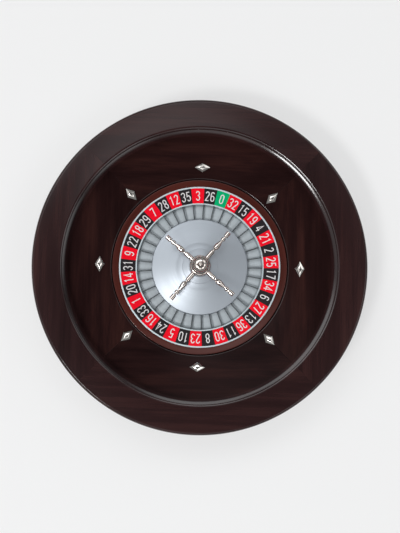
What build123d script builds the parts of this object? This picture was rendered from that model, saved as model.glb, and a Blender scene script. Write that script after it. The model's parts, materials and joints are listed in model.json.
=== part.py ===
from build123d import *
import math
import os

# Tabletop roulette wheel, in millimetres. The origin is on the spin axis, on the table, with +Z up.
# A turned wooden bowl stands on rubber feet. Inside it a wheel head spins on two ball bearings.

# ---------------------------------------------------------------- heights, counted up from the table
foot_height = 6.0
board_thickness = 10.0
underside_gap = 4.0             # base board to wheel head
disc_thickness = 8.0
pocket_floor_thickness = 1.5
pocket_depth = 7.5
band_slope = 7.0                # degrees: the number band and the wood ring fall towards the centre
rotor_step = 0.6                # the bowl's inner edge stands above the wheel head
apron_slope = 11.0              # degrees
track_wall = 9.5                # height of the ball track's upright wall
track_roof_rise = 3.0
lip_height = 6.0

# ---------------------------------------------------------------- radii, counted outwards from the axis
cone_radius = 73.9
pocket_length = 22.3
inner_lip_width = 2.0
band_width = 22.8
outer_lip_width = 2.4
wood_ring_width = 10.1
rotor_gap = 1.1                 # wheel head to bowl
apron_width = 65.1
track_wall_offset = 10.0        # apron's outer edge to the ball track's wall
lip_overhang = 3.5              # the rim's lip reaches in over the ball track
rim_width = 45.0

# ---------------------------------------------------------------- bowl
quadrant_names = ["right", "back", "left", "front"]     # counted from +X, anticlockwise
seat_fit = 0.1                  # slip fit between glued or seated pieces
lip_rounding = 0.7
lip_slope_width = 2.1
lip_slope_drop = 1.3
lip_slope_rounding = 6.0
lip_edge_break = 0.6
track_roof_rounding = 1.5
track_rounding = 3.5
track_floor_width = 5.4
track_floor_slope = 25.5         # steeper than the apron that it carries on from
track_floor_rounding = 20.0
rim_edge_rounding = 5.0
rim_crown_width = 34.0
rim_crown_drop = 1.0
rim_crown_rounding = 420.0
rim_band_height = 34.0
rim_band_step = 4.0
rim_band_rounding = 3.0
cove_rise = 8.0
cove_rounding = 12.0
foot_ring_inset = 22.0          # bowl's widest radius to its foot ring
edge_break = 1.5                # rounding of the wood's outer edges
apron_edge_rounding = 1.8
apron_edge_thickness = 11.9     # at the apron's inner edge
board_overlap = 14.0            # the base board reaches out past the apron's outer edge
ledge_width = 10.0              # seat for the apron on the rim
support_ring_width = 16.0
support_ring_inset = 4.0

# ---------------------------------------------------------------- deflectors
deflector_count = 8
deflector_share = 0.273         # place of the deflectors across the apron, from its inner edge
deflector_length = 24.0
deflector_width = 14.4
deflector_edge = 1.2            # upright edge below the bevel
deflector_height = 3.4
deflector_bevel = 3.2
deflector_peak = 0.6
deflector_peak_share = 0.12     # size of the flat at the very top, as a share of the outline
deflector_stud_radius = 1.5
deflector_stud_cover = 2.0      # wood left below the stud's end
deflector_nut_flats = 5.5
deflector_nut_thickness = 2.4
stud_overhang = 1.0             # a stud stands this far out of its nut

# ---------------------------------------------------------------- feet and screws
foot_count = 4
foot_radius = 12.0
foot_taper = 1.0
foot_recess_radius = 6.5
foot_recess_depth = 3.5
foot_edge_rounding = 0.8
foot_inset = 24.0               # base board's edge to the feet's centres
screw_fit = 0.05
screw_cover = 2.0               # wood left beyond a screw's point
rim_screw_count = 8
rim_screw_inset = 7.0
rim_screw_bite = 16.0           # length held in the rim
hub_screw_count = 4
spindle_screw_count = 4
recess_width = 0.22             # cross recess, as shares of the screw's head radius
recess_depth = 0.25

# ---------------------------------------------------------------- numbers and pockets
number_order = [0, 32, 15, 19, 4, 21, 2, 25, 17, 34, 6, 27, 13, 36, 11, 30, 8, 23, 10,
                5, 24, 16, 33, 1, 20, 14, 31, 9, 22, 18, 29, 7, 28, 12, 35, 3, 26]
zero_bearing = 16.5             # degrees clockwise from +Y, seen from above, at rest
field_thickness = 0.8
field_fit = 0.05
lip_rise = 0.5
lip_crest_rounding = 0.4
ring_wall = 2.0
ring_edge_rounding = 1.0        # edges of the wood ring
fret_thickness = 1.5
fret_height = 6.4
fret_fall = 0.8                 # a fret is lower at the cone than at the number band
fret_chamfer = 0.35
fret_fit = 0.05

# ---------------------------------------------------------------- cone
cone_edge_drop = 0.7            # number band's inner edge to the cone's edge
cone_wall = 1.2
cone_edge_rounding = 2.0
flare_radius = 36.5
flare_rise = 0.64               # share of the cone's rise below its steeper upper part
flare_rounding = 25.0
crown_radius = 23.0
cone_fit = 0.2

# ---------------------------------------------------------------- bearings and spindle
bore_radius = 4.0
bearing_radius = 11.0
bearing_width = 7.0
bearing_edge_rounding = 0.3
bearing_ball_radius = 1.95
bearing_ball_count = 7
raceway_clearance = 0.04
race_gap = 3.0                  # between the inner and the outer ring
cage_wall = 1.2
cage_rim = 0.75
cage_skirt = 0.6
race_relief = 0.6               # what clamps a ring stays this far back from its raceway edge
bearing_drop = 4.0              # wheel disc's top to the lower bearing's bottom
spacer_length = 5.0
spindle_flange_radius = 20.0
spindle_flange_thickness = 2.5
washer_thickness = 1.2
nut_flats = 13.0
nut_thickness = 4.0
thread_end = 0.5
cap_clearance = 0.9
sleeve_wall = 3.0
sleeve_end = 2.0
sleeve_flange_width = 12.0
sleeve_flange_thickness = 3.5
metal_rounding = 0.5            # small edges of the turned metal pieces
cap_thickness = 3.0
cap_spigot_length = 2.0
cap_spigot_wall = 1.5

# ---------------------------------------------------------------- turret
turret_base_overhang = 3.7      # past the cone's crown
turret_base_height = 3.2
turret_base_edge = 1.0
turret_base_lift = 0.3
turret_base_collar = 1.5
turret_hub_radius = 15.6
turret_hub_height = 14.0
turret_hub_foot = 2.0
turret_hub_rounding = 3.0
stud_radius = 3.0
stud_fit = 0.05
stud_bite = 13.0                # length held in the finial
arm_count = 4
arm_bearing = 23.2              # degrees clockwise from the zero to the first arm
arm_socket_depth = 7.0
arm_seat_depth = 0.6
arm_seat_fit = 0.6
arm_thread_radius = 2.0
arm_radius = 3.5
arm_bulge_radius = 4.2
arm_waist_radius = 1.7
arm_stem_length = 13.6
arm_notch_length = 2.6
arm_swell_length = 3.4
arm_bulge_length = 5.6
arm_taper_length = 8.2
arm_neck_length = 1.6
arm_bead_length = 4.8
arm_gap_length = 2.4
arm_knob_length = 8.8
arm_rounding = 0.6
finial_foot_radius = 9.0
finial_foot_height = 2.2
finial_neck_radius = 6.0
finial_neck_height = 10.7
finial_neck_rounding = 2.5
finial_radius = 13.7
finial_bead_height = 2.4
finial_dome_step = 1.4          # the dome stands in from the bead's edge
finial_dome_height = 9.9
finial_dome_rounding = 9.4
button_neck_radius = 1.8
button_neck_height = 0.9
button_radius = 3.5
button_height = 6.4
button_rounding = 3.0

# ---------------------------------------------------------------- derived heights
board_bottom = foot_height
board_top = board_bottom + board_thickness
disc_bottom = board_top + underside_gap
disc_top = disc_bottom + disc_thickness
pocket_floor_top = disc_top + pocket_floor_thickness
band_inner_height = pocket_floor_top + pocket_depth
cone_edge_height = band_inner_height - cone_edge_drop

# ---------------------------------------------------------------- derived radii
pocket_inner_radius = cone_radius + cone_fit
ring_inner_radius = pocket_inner_radius + pocket_length
band_inner_radius = ring_inner_radius + inner_lip_width
band_outer_radius = band_inner_radius + band_width
ring_outer_radius = band_outer_radius + outer_lip_width
wood_inner_radius = ring_outer_radius + seat_fit
rotor_radius = wood_inner_radius + wood_ring_width
apron_inner_radius = rotor_radius + rotor_gap
apron_outer_radius = apron_inner_radius + apron_width
track_radius = apron_outer_radius + track_wall_offset
lip_radius = track_radius - lip_overhang
bowl_radius = lip_radius + rim_width
deflector_radius = apron_inner_radius + apron_width * deflector_share
foot_ring_radius = bowl_radius - foot_ring_inset
board_radius = apron_outer_radius + board_overlap
ledge_radius = apron_outer_radius - ledge_width
turret_base_radius = crown_radius + turret_base_overhang


def band_height(radius):
    """Height of the wheel head's sloping top, from the number band to the wood ring."""
    return band_inner_height + (radius - band_inner_radius) * math.tan(math.radians(band_slope))


apron_inner_height = band_height(rotor_radius) + rotor_step


def apron_height(radius):
    """Height of the bowl's sloping apron."""
    return apron_inner_height + (radius - apron_inner_radius) * math.tan(math.radians(apron_slope))


apron_bottom = apron_inner_height - apron_edge_thickness
track_roof = apron_height(track_radius) + track_wall
track_floor_radius = track_radius - track_floor_width
track_wall_foot = (apron_height(track_floor_radius)
                   + track_floor_width * math.tan(math.radians(track_floor_slope)))
rim_top = track_roof + track_roof_rise + lip_height
rim_band_bottom = rim_top - rim_band_height

# The bearing stack sets the height of the hub's cap, and so of the cone's crown.
bearing_pitch_radius = (bore_radius + bearing_radius) / 2
inner_race_radius = bearing_pitch_radius - race_gap / 2
outer_race_radius = bearing_pitch_radius + race_gap / 2
lower_bearing_bottom = disc_top - bearing_drop
lower_bearing_top = lower_bearing_bottom + bearing_width
upper_bearing_bottom = lower_bearing_top + spacer_length
upper_bearing_top = upper_bearing_bottom + bearing_width
nut_bottom = upper_bearing_top + washer_thickness
spindle_top = nut_bottom + nut_thickness + thread_end
spindle_flange_top = board_top + spindle_flange_thickness
sleeve_radius = bearing_radius + sleeve_wall
sleeve_flange_radius = sleeve_radius + sleeve_flange_width
sleeve_flange_top = disc_top + sleeve_flange_thickness
cap_bottom = spindle_top + cap_clearance
cap_top = cap_bottom + cap_thickness
crown_height = cap_top + cone_wall
flare_height = cone_edge_height + (crown_height - cone_edge_height) * flare_rise

# The turret stands on the crown.
hub_bottom = crown_height + turret_base_height
hub_top = hub_bottom + turret_hub_height
stud_top = hub_top + stud_bite
arm_height = hub_bottom + turret_hub_height / 2
finial_neck_top = hub_top + finial_foot_height + finial_neck_height
finial_bead_top = finial_neck_top + finial_bead_height
finial_dome_top = finial_bead_top + finial_dome_height
finial_top = finial_dome_top + button_neck_height + button_height

# ---------------------------------------------------------------- helpers
def outline(corners):
    """Face in the XY plane through corners (x, y) or (x, y, rounding)."""
    points = [corner[:2] for corner in corners]
    roundings = [corner[2] if len(corner) > 2 else 0 for corner in corners]
    return make_face(FilletPolyline(*points, radius=roundings, close=True))


def turned(*corners, arc=360.0, start=0.0):
    """Solid turned about Z from corners (radius, height) or (radius, height, rounding)."""
    return Rot(Z=start) * revolve(Plane.XZ * outline(corners), Axis.Z, revolution_arc=arc)


def tube(inner, outer, low, high, rounding=0.0):
    """Plain tube on the Z axis, with its outer edges rounded."""
    return turned((inner, low), (outer, low, rounding), (outer, high, rounding), (inner, high))


def rod(radius, low, high):
    """Round bar on the Z axis."""
    return Pos(0, 0, low) * Cylinder(radius, high - low, align=(Align.CENTER, Align.CENTER, Align.MIN))


def hexagon(flats, low, high):
    """Hexagonal bar on the Z axis, measured across its flats."""
    return Pos(0, 0, low) * extrude(RegularPolygon(flats / 2, 6, major_radius=False), high - low)


def around(count, start=0.0):
    """Even bearings about Z, in degrees."""
    return [start + 360.0 * k / count for k in range(count)]


def clockwise(bearing):
    """Rotation about Z that takes +X to a bearing counted clockwise from +Y."""
    return Rot(Z=90.0 - bearing)


def screw(head_radius, shank_radius, length, grown=0.0):
    """Countersunk screw that points down from the origin. A grown one cuts its own hole."""
    head = head_radius - shank_radius
    shank = shank_radius + grown
    tip = (0, -length - grown)
    side = [(head_radius + grown, 0), (shank, -head), (shank, head - length), tip]
    if grown:
        return turned((0, grown), (head_radius + grown, grown), *side)
    return turned((0, 0), *side)


def driven(head_radius, shank_radius, length):
    """Countersunk screw with a cross recess."""
    blade = Box(head_radius, head_radius * recess_width, head_radius * recess_depth * 2)
    return screw(head_radius, shank_radius, length) - blade - Rot(Z=90) * blade


def holes(places, kind):
    """Cutters for a set of screws."""
    return [place * screw(**kind, grown=screw_fit) for place in places]


def group(solids):
    """Separate solids that share one node."""
    return Compound(children=list(solids))


def save(name, shape):
    shape.label = name
    export_step(shape, os.path.join("parts", name + ".step"))


# ---------------------------------------------------------------- screws and where they go
rim_screw = dict(head_radius=3.6, shank_radius=1.9, length=board_thickness + rim_screw_bite)
foot_screw = dict(head_radius=3.4, shank_radius=1.8,
                  length=foot_height - foot_recess_depth + board_thickness - screw_cover)
hub_screw = dict(head_radius=3.0, shank_radius=1.5,
                 length=sleeve_flange_thickness + disc_thickness - screw_cover)
spindle_screw = dict(head_radius=2.6, shank_radius=1.4,
                     length=spindle_flange_thickness + board_thickness - screw_cover)

rim_screw_places = [
    Rot(Z=a) * Pos(board_radius - rim_screw_inset, 0, board_bottom) * Rot(X=180)
    for a in around(rim_screw_count, 180.0 / rim_screw_count)
]
foot_places = [Rot(Z=a) * Pos(board_radius - foot_inset, 0, 0) for a in around(foot_count, 45.0)]
foot_screw_places = [place * Pos(0, 0, foot_recess_depth) * Rot(X=180) for place in foot_places]
hub_screw_places = [
    Rot(Z=a) * Pos((sleeve_radius + sleeve_flange_radius) / 2, 0, sleeve_flange_top)
    for a in around(hub_screw_count, 45.0)
]
spindle_screw_places = [
    Rot(Z=a) * Pos((inner_race_radius + spindle_flange_radius) / 2, 0, spindle_flange_top)
    for a in around(spindle_screw_count, 45.0)
]


# ---------------------------------------------------------------- bowl
def rim_segment(start, arc):
    """Quadrant of the rim, with the undercut ball track on its inner side."""
    segment = turned(
        (board_radius + seat_fit, board_bottom),
        (foot_ring_radius, board_bottom, edge_break),
        (foot_ring_radius, board_bottom + cove_rise, cove_rounding),
        (bowl_radius - rim_band_step, rim_band_bottom - rim_band_step / 2, rim_band_rounding),
        (bowl_radius, rim_band_bottom, edge_break),
        (bowl_radius, rim_top - rim_crown_drop, rim_edge_rounding),
        (bowl_radius - rim_crown_width, rim_top, rim_crown_rounding),
        (lip_radius + lip_slope_width, rim_top, lip_slope_rounding),
        (lip_radius, rim_top - lip_slope_drop, lip_rounding),
        (lip_radius, rim_top - lip_height, lip_edge_break),
        (track_radius, track_roof, track_roof_rounding),
        (track_radius, track_wall_foot, track_rounding),
        (track_floor_radius, apron_height(track_floor_radius), track_floor_rounding),
        (apron_outer_radius, apron_height(apron_outer_radius)),
        (apron_outer_radius, apron_bottom),
        (ledge_radius, apron_bottom),
        (ledge_radius, board_top),
        (board_radius + seat_fit, board_top),
        arc=arc, start=start,
    )
    return segment - holes(rim_screw_places, rim_screw)


# Wood below a deflector, measured square to the slope, and how its stud and nut fill it.
apron_incline = math.radians(apron_slope)
apron_thickness = (apron_height(deflector_radius) - apron_bottom) * math.cos(apron_incline)
stud_end = deflector_stud_cover - apron_thickness
nut_end = stud_end + stud_overhang
nut_seat = nut_end + deflector_nut_thickness


def deflector_place(bearing, reach):
    """Spot on the apron where a flat piece that reaches this far sideways touches it."""
    sag = (math.hypot(deflector_radius, reach) - deflector_radius) * math.sin(apron_incline)
    spot = Pos(deflector_radius, 0, apron_height(deflector_radius)) * Rot(Y=-apron_slope)
    return clockwise(bearing) * spot * Pos(0, 0, sag)


# Every second deflector lies across the slope, and the others point down it.
lying = [k % 2 == 0 for k in range(deflector_count)]
deflector_places = [
    deflector_place(bearing, (deflector_length if flat else deflector_width) / 2)
    for bearing, flat in zip(around(deflector_count), lying)
]


def apron_segment(start, arc):
    """Quadrant of the sloping apron, drilled for the deflectors' studs."""
    segment = turned(
        (apron_inner_radius, apron_bottom),
        (apron_outer_radius, apron_bottom),
        (apron_outer_radius, apron_height(apron_outer_radius)),
        (apron_inner_radius, apron_inner_height, apron_edge_rounding),
        arc=arc, start=start,
    )
    hole = rod(deflector_stud_radius + seat_fit, -2 * apron_thickness, apron_thickness)
    counterbore = rod(deflector_nut_flats * 0.8, -2 * apron_thickness, nut_seat)
    return segment - [place * (hole + counterbore) for place in deflector_places]


def deflector(turned_by):
    """Raised metal diamond with its threaded stud, lying on the apron."""
    length, width = deflector_length / 2, deflector_width / 2
    inner = 1.0 - deflector_bevel * math.hypot(length, width) / (length * width)

    def diamond(share, height):
        corners = [(length, 0), (0, width), (-length, 0), (0, -width)]
        return Pos(0, 0, height) * make_face(
            Polyline(*[(x * share, y * share) for x, y in corners], close=True))

    top = diamond(inner, deflector_height)
    body = extrude(diamond(1.0, 0), deflector_edge)
    body += loft([diamond(1.0, deflector_edge), top], ruled=True)
    body += loft([top, diamond(deflector_peak_share, deflector_height + deflector_peak)], ruled=True)
    return Rot(Z=turned_by) * (body + rod(deflector_stud_radius, stud_end, deflector_height / 2))


def deflector_nut():
    return hexagon(deflector_nut_flats, nut_end, nut_seat) - rod(
        deflector_stud_radius + screw_fit, 2 * stud_end, 0)


def base_board():
    board = rod(board_radius, board_bottom, board_top)
    return board - holes(rim_screw_places, rim_screw) - holes(
        foot_screw_places, foot_screw) - holes(spindle_screw_places, spindle_screw)


def rubber_foot():
    foot = turned(
        (0, foot_recess_depth),
        (foot_recess_radius, foot_recess_depth),
        (foot_recess_radius, 0, foot_edge_rounding),
        (foot_radius, 0, foot_edge_rounding),
        (foot_radius - foot_taper, foot_height),
        (0, foot_height),
    )
    return foot - Pos(0, 0, foot_recess_depth) * Rot(X=180) * screw(**foot_screw, grown=screw_fit)


def spindle():
    """Flanged post. Its collar carries the lower bearing's inner ring."""
    post = turned(
        (0, board_top),
        (spindle_flange_radius, board_top),
        (spindle_flange_radius, spindle_flange_top, metal_rounding),
        (inner_race_radius - race_relief / 2, spindle_flange_top, metal_rounding),
        (inner_race_radius - race_relief / 2, lower_bearing_bottom),
        (bore_radius, lower_bearing_bottom),
        (bore_radius, spindle_top, metal_rounding),
        (0, spindle_top),
    )
    return post - holes(spindle_screw_places, spindle_screw)


def spindle_nut():
    return hexagon(nut_flats, nut_bottom, nut_bottom + nut_thickness) - rod(
        bore_radius, nut_bottom, spindle_top)


# ---------------------------------------------------------------- bearings
def raceway(middle):
    """Ring that the balls run in, as a cutter."""
    return Pos(0, 0, middle) * Torus(bearing_pitch_radius, bearing_ball_radius + raceway_clearance)


def ball_places(middle):
    return [Rot(Z=a) * Pos(bearing_pitch_radius, 0, middle) for a in around(bearing_ball_count)]


def bearing_cage(middle):
    """Crown cage: a ring with a pocket for each ball."""
    pocket_radius = bearing_ball_radius + raceway_clearance
    ring = tube(bearing_pitch_radius - cage_wall / 2, bearing_pitch_radius + cage_wall / 2,
                middle - cage_skirt, middle + pocket_radius + cage_rim)
    return ring - [place * Sphere(pocket_radius) for place in ball_places(middle)]


def save_bearing(name, bottom):
    """Ball bearing, as four nodes."""
    top, middle = bottom + bearing_width, bottom + bearing_width / 2
    inner = turned(
        (bore_radius, bottom, bearing_edge_rounding), (inner_race_radius, bottom),
        (inner_race_radius, top), (bore_radius, top, bearing_edge_rounding),
    )
    outer = tube(outer_race_radius, bearing_radius, bottom, top, bearing_edge_rounding)
    save(name + "_bearing_inner_ring", inner - raceway(middle))
    save(name + "_bearing_outer_ring", outer - raceway(middle))
    save(name + "_bearing_cage", bearing_cage(middle))
    save(name + "_bearing_balls", group(
        place * Sphere(bearing_ball_radius) for place in ball_places(middle)))


# ---------------------------------------------------------------- wheel head
field_arc = 360.0 / len(number_order)


def wheel_disc():
    disc = tube(sleeve_radius + seat_fit, wood_inner_radius, disc_bottom, disc_top)
    return disc - holes(hub_screw_places, hub_screw)


def wood_ring():
    """Red-brown ring round the wheel head."""
    return turned(
        (wood_inner_radius, disc_bottom),
        (rotor_radius, disc_bottom, ring_edge_rounding),
        (rotor_radius, band_height(rotor_radius), ring_edge_rounding),
        (wood_inner_radius, band_height(wood_inner_radius), ring_edge_rounding / 2),
    )


def number_ring():
    """Metal channel that carries the number fields between two raised lips."""
    floor_in = band_height(band_inner_radius) - field_thickness
    floor_out = band_height(band_outer_radius) - field_thickness
    lip_in = band_height(band_inner_radius) + lip_rise
    lip_out = band_height(band_outer_radius) + lip_rise
    return turned(
        (ring_inner_radius, disc_top),
        (ring_inner_radius, lip_in, lip_crest_rounding),
        (band_inner_radius, lip_in, lip_crest_rounding),
        (band_inner_radius, floor_in),
        (band_outer_radius, floor_out),
        (band_outer_radius, lip_out, lip_crest_rounding),
        (ring_outer_radius, lip_out, lip_crest_rounding),
        (ring_outer_radius, disc_top),
        (band_outer_radius, disc_top),
        (band_outer_radius, floor_out - ring_wall),
        (band_inner_radius, floor_in - ring_wall),
        (band_inner_radius, disc_top),
    )


def number_field(index):
    """One coloured field of the number band."""
    low, high = band_inner_radius + field_fit, band_outer_radius - field_fit
    return turned(
        (low, band_height(low) - field_thickness),
        (high, band_height(high) - field_thickness),
        (high, band_height(high)),
        (low, band_height(low)),
        arc=field_arc, start=90.0 - zero_bearing - (index + 0.5) * field_arc,
    )


def fields(first, step):
    """Every field of one colour."""
    return group(number_field(k) for k in range(first, len(number_order), step))


def fret():
    """Thin wall between two pockets, along +X."""
    low, high = pocket_inner_radius + fret_fit, ring_inner_radius - fret_fit
    top = pocket_floor_top + fret_height
    side = outline([
        (low, pocket_floor_top), (high, pocket_floor_top), (high, top), (low, top - fret_fall),
    ])
    wall = extrude(Plane.XZ * side, fret_thickness / 2, both=True)
    crest = wall.faces().sort_by(Axis.Z)[-1].edges().sort_by(SortBy.LENGTH)[-2:]
    return chamfer(crest, fret_chamfer)


def frets():
    wall = fret()
    return group(
        clockwise(zero_bearing + (k + 0.5) * field_arc) * wall for k in range(len(number_order)))


def cone():
    """Spun shell that slopes up from the pockets, more steeply towards its flat crown."""
    return turned(
        (cone_radius - cone_wall, disc_top),
        (cone_radius, disc_top),
        (cone_radius, cone_edge_height, cone_edge_rounding),
        (flare_radius, flare_height, flare_rounding),
        (crown_radius, crown_height),
        (stud_radius + stud_fit, crown_height),
        (stud_radius + stud_fit, cap_top),
        (crown_radius - cone_wall / 2, cap_top),
        (flare_radius - cone_wall / 2, flare_height - cone_wall, flare_rounding),
        (cone_radius - cone_wall, cone_edge_height - cone_wall, cone_edge_rounding - cone_wall),
    )


def hub_sleeve():
    """Flanged bearing housing. Its shoulder sits between the two outer rings."""
    shoulder = outer_race_radius + race_relief
    sleeve = turned(
        (bearing_radius, lower_bearing_bottom - sleeve_end),
        (sleeve_radius, lower_bearing_bottom - sleeve_end, metal_rounding),
        (sleeve_radius, disc_top),
        (sleeve_flange_radius, disc_top),
        (sleeve_flange_radius, sleeve_flange_top, metal_rounding),
        (sleeve_radius, sleeve_flange_top, metal_rounding),
        (sleeve_radius, cap_bottom),
        (bearing_radius, cap_bottom),
        (bearing_radius, upper_bearing_bottom),
        (shoulder, upper_bearing_bottom),
        (shoulder, lower_bearing_top),
        (bearing_radius, lower_bearing_top),
    )
    return sleeve - holes(hub_screw_places, hub_screw)


def hub_cap():
    """Cap on the bearing housing, tapped for the turret's stud."""
    return turned(
        (stud_radius + stud_fit, cap_bottom),
        (bearing_radius - cap_spigot_wall, cap_bottom),
        (bearing_radius - cap_spigot_wall, cap_bottom - cap_spigot_length),
        (bearing_radius, cap_bottom - cap_spigot_length, metal_rounding),
        (bearing_radius, cap_bottom),
        (sleeve_radius, cap_bottom),
        (sleeve_radius, cap_top),
        (stud_radius + stud_fit, cap_top),
    )


# ---------------------------------------------------------------- turret
def turret_base():
    """Dished plate over the cone's crown."""
    flare_fall = (crown_height - flare_height) / (flare_radius - crown_radius)
    edge = crown_height - turret_base_overhang * flare_fall + turret_base_lift
    return turned(
        (stud_radius + stud_fit, crown_height),
        (crown_radius, crown_height),
        (turret_base_radius, edge),
        (turret_base_radius, edge + turret_base_edge, metal_rounding),
        (turret_hub_radius + turret_base_collar, hub_bottom, turret_base_edge),
        (stud_radius + stud_fit, hub_bottom),
    )


arm_places = [
    clockwise(zero_bearing + arm_bearing + bearing) * Pos(0, 0, arm_height)
    for bearing in around(arm_count)
]


def turret_hub():
    """Boss with a threaded socket and a spot face for each arm."""
    hub = turned(
        (stud_radius + stud_fit, hub_bottom),
        (turret_hub_radius - turret_hub_foot, hub_bottom, metal_rounding),
        (turret_hub_radius, hub_bottom + turret_hub_foot, metal_rounding),
        (turret_hub_radius, hub_top, turret_hub_rounding),
        (stud_radius + stud_fit, hub_top),
    )
    socket = rod(arm_thread_radius + screw_fit, turret_hub_radius - arm_socket_depth, turret_hub_radius)
    spot = rod(arm_radius + arm_seat_fit, turret_hub_radius - arm_seat_depth, 2 * turret_hub_radius)
    return hub - [place * Rot(Y=90) * (socket + spot) for place in arm_places]


def turret_arm():
    """Baluster handle, turned about its own length, which lies along +X."""
    seat = turret_hub_radius - arm_seat_depth
    profile = [(turret_hub_radius - arm_socket_depth, 0), (turret_hub_radius - arm_socket_depth,
               arm_thread_radius), (seat, arm_thread_radius), (seat, arm_radius)]
    reach = turret_hub_radius
    for length, start_radius, end_radius in (
        (arm_stem_length, arm_radius, arm_radius),
        (arm_notch_length, arm_waist_radius, arm_waist_radius),
        (arm_swell_length, arm_waist_radius, arm_bulge_radius),
        (arm_bulge_length, arm_bulge_radius, arm_bulge_radius),
        (arm_taper_length, arm_bulge_radius, arm_waist_radius),
        (arm_neck_length, arm_waist_radius, arm_waist_radius),
        (arm_bead_length, arm_radius, arm_radius),
        (arm_gap_length, arm_waist_radius, arm_waist_radius),
        (arm_knob_length, arm_radius, arm_radius),
    ):
        if abs(profile[-1][1] - start_radius) > 0.01:
            profile.append((reach, start_radius, arm_rounding))
        reach += length
        profile.append((reach, end_radius, arm_rounding))
    profile.append((reach, 0))
    return revolve(outline(profile), Axis.X)


def turret_finial():
    """Domed knob on a turned neck, with a ball on top. It is tapped for the stud."""
    dome_radius = finial_radius - finial_dome_step
    knob = turned(
        (0, hub_top),
        (finial_foot_radius, hub_top, metal_rounding),
        (finial_foot_radius, hub_top + finial_foot_height, metal_rounding),
        (finial_neck_radius, hub_top + finial_foot_height, finial_neck_rounding),
        (finial_neck_radius, finial_neck_top, finial_neck_rounding),
        (finial_radius, finial_neck_top, metal_rounding),
        (finial_radius, finial_bead_top, metal_rounding),
        (dome_radius, finial_bead_top),
        (dome_radius, finial_dome_top, finial_dome_rounding),
        (button_neck_radius, finial_dome_top),
        (button_neck_radius, finial_dome_top + button_neck_height),
        (button_radius, finial_dome_top + button_neck_height, button_rounding / 2),
        (button_radius, finial_top, button_rounding),
        (0, finial_top),
    )
    return knob - rod(stud_radius + stud_fit, hub_top - stud_bite, stud_top + metal_rounding)


# ---------------------------------------------------------------- write every node
os.makedirs("parts", exist_ok=True)

quadrant = 360.0 / len(quadrant_names)
for start, name in zip(around(len(quadrant_names), -quadrant / 2), quadrant_names):
    save("rim_segment_" + name, rim_segment(start, quadrant))
    save("apron_segment_" + name, apron_segment(start, quadrant))

support_ring_radius = apron_inner_radius + support_ring_inset
save("apron_support_ring", tube(
    support_ring_radius, support_ring_radius + support_ring_width, board_top, apron_bottom))
save("base_board", base_board())
save("rim_screws", group(place * driven(**rim_screw) for place in rim_screw_places))
save("rubber_feet", group(place * rubber_foot() for place in foot_places))
save("foot_screws", group(place * driven(**foot_screw) for place in foot_screw_places))

for k, place in enumerate(deflector_places):
    save(f"deflector_{k + 1}", place * deflector(90.0 if lying[k] else 0.0))
save("deflector_nuts", group(place * deflector_nut() for place in deflector_places))

save("spindle", spindle())
save("spindle_screws", group(place * driven(**spindle_screw) for place in spindle_screw_places))
save("bearing_spacer", tube(
    bore_radius, inner_race_radius - race_relief, lower_bearing_top, upper_bearing_bottom))
save("spindle_washer", tube(
    bore_radius, inner_race_radius + race_relief, upper_bearing_top, nut_bottom))
save("spindle_nut", spindle_nut())
save_bearing("lower", lower_bearing_bottom)
save_bearing("upper", upper_bearing_bottom)

save("wheel_disc", wheel_disc())
save("wheel_wood_ring", wood_ring())
save("number_ring", number_ring())
save("zero_field", number_field(0))
save("red_number_fields", fields(1, 2))
save("black_number_fields", fields(2, 2))
save("pocket_floor", tube(
    pocket_inner_radius, ring_inner_radius - seat_fit, disc_top, pocket_floor_top))
save("pocket_frets", frets())
save("wheel_cone", cone())
save("hub_sleeve", hub_sleeve())
save("hub_cap", hub_cap())
save("hub_screws", group(place * driven(**hub_screw) for place in hub_screw_places))
save("turret_base", turret_base())
save("turret_hub", turret_hub())
for k, place in enumerate(arm_places):
    save(f"turret_arm_{k + 1}", place * turret_arm())
save("turret_finial", turret_finial())
save("turret_stud", rod(stud_radius, cap_bottom, stud_top))

print("rim top", round(rim_top, 2), "overall height", round(finial_top, 2))
print("bowl radius", round(bowl_radius, 2), "crown", round(crown_height, 2), "flare", round(flare_height, 2))
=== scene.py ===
import json
import math

import bmesh
import bpy
from mathutils import Matrix, Vector


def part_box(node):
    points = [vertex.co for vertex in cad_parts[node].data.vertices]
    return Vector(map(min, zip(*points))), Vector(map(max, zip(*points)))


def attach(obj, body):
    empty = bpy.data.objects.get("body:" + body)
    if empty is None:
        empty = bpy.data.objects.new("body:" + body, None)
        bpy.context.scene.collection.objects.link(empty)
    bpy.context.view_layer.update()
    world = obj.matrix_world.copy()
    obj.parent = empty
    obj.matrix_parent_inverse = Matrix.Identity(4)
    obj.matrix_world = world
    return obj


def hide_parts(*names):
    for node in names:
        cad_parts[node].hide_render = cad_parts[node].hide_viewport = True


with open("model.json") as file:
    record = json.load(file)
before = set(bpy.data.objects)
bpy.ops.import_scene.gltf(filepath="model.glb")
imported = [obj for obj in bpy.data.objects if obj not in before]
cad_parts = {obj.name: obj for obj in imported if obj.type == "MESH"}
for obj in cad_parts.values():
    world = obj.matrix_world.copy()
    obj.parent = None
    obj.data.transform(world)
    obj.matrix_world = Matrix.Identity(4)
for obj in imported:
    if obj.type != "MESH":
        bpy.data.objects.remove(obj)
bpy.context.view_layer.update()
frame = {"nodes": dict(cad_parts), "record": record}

# Tabletop roulette wheel. Lengths are in millimetres until a mesh is made, and bearings are in
# degrees clockwise from +Y, seen from above. A lathe's angles run anticlockwise from +X, and the
# studio is laid out in metres. The driving sizes are those of the solids.
MM = 0.001

# ---------------------------------------------------------------- sizes
foot_height = 6.0
board_thickness = 10.0
underside_gap = 4.0
disc_thickness = 8.0
pocket_floor_thickness = 1.5
pocket_depth = 7.5
band_slope = 7.0
rotor_step = 0.6
apron_slope = 11.0
track_wall = 9.5
track_roof_rise = 3.0
lip_height = 6.0

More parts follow.
